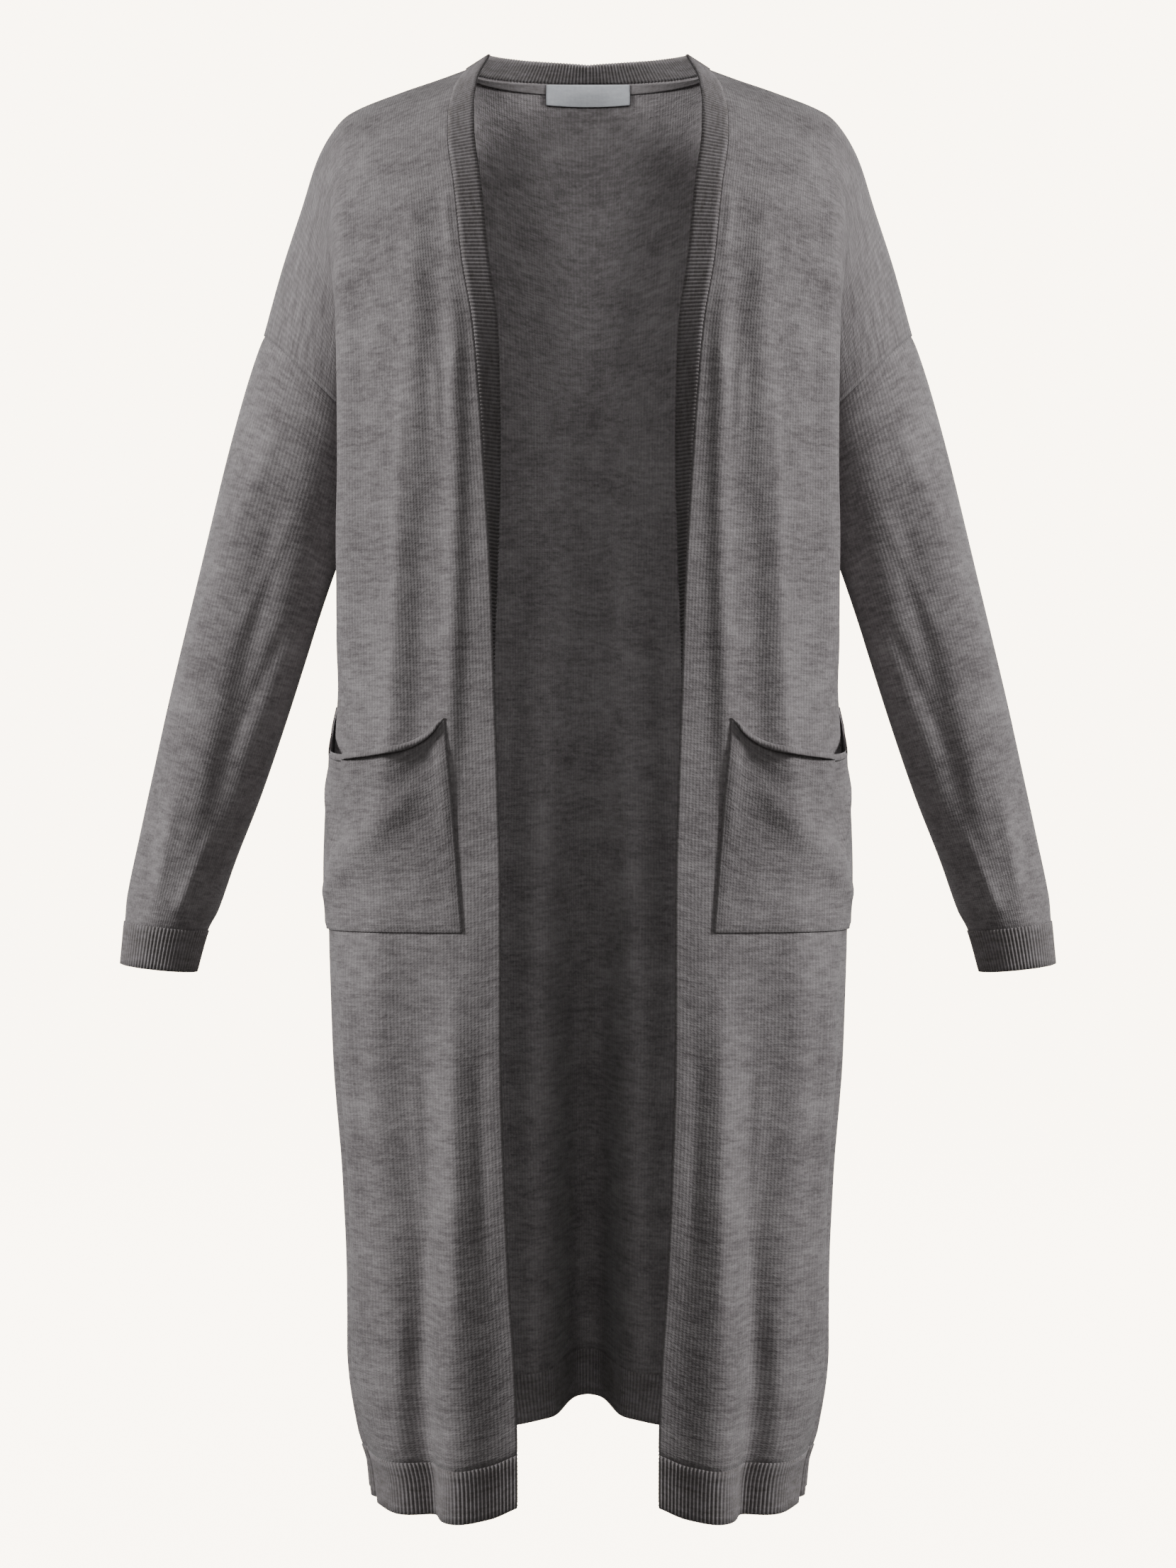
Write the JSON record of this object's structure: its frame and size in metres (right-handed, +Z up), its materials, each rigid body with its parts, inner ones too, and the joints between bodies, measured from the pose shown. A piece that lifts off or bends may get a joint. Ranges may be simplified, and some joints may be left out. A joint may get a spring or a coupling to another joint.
{
  "type": "duster cardigan",
  "caption": "Long open duster cardigan in fine grey knit, filled out as worn with no wearer: ribbed band, cuffs and hem, dropped sleeves and two patch pockets.",
  "frame": {"origin": "midway between the two high points of the shoulders, at their height, where the wearer's shoulders carry the garment", "axes": "+Z up; the front opening faces -Y; +X is towards the wearer's left"},
  "size_m": [0.726, 0.3105, 1.1143],
  "materials": {
    "jersey": "fine melange jersey knit, mid grey, matt with a soft sheen",
    "rib": "one by one rib knit of the same yarn",
    "tape": "narrow jersey neck tape",
    "label": "bare pale woven label"
  },
  "bodies": {
    "root": {"back": "jersey", "front_left": "jersey", "front_right": "jersey", "sleeve_left": "jersey", "sleeve_right": "jersey", "pocket_left": "jersey", "pocket_right": "jersey", "cuff_left": "rib", "cuff_right": "rib", "hem_rib_back": "rib", "hem_rib_left": "rib", "hem_rib_right": "rib", "front_band_left": "rib", "front_band_right": "rib", "neck_band": "rib", "neck_tape": "tape", "label": "label"}
  },
  "joints": []
}
